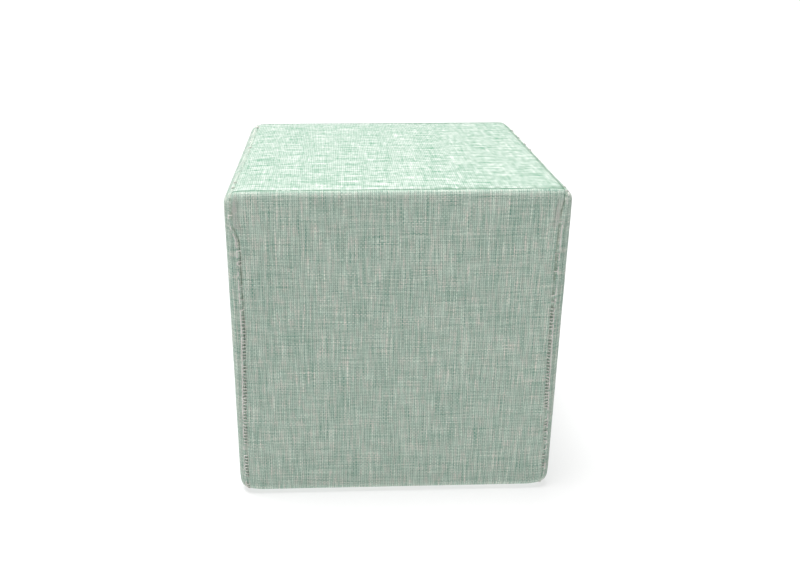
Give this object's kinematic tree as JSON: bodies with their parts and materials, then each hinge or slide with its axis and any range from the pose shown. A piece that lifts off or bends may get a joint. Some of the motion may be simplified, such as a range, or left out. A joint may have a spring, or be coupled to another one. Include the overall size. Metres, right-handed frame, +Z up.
{
  "type": "cube pouf stool",
  "caption": "Soft filled cube stool in a sewn linen-look cloth cover, with rounded edges and a seam near each side edge, for sitting on or resting the feet.",
  "frame": {"origin": "centre of the flat base, on the floor", "axes": "+Z up through the seat, -Y out of the front face, +X towards the right side panel as seen from the front"},
  "size_m": [0.4, 0.4, 0.397],
  "materials": {
    "cover_cloth": "matte",
    "seam_thread": "matte"
  },
  "bodies": {
    "root": {"centre_band": "cover_cloth", "side_panel_left": "cover_cloth", "side_panel_right": "cover_cloth"}
  },
  "joints": []
}
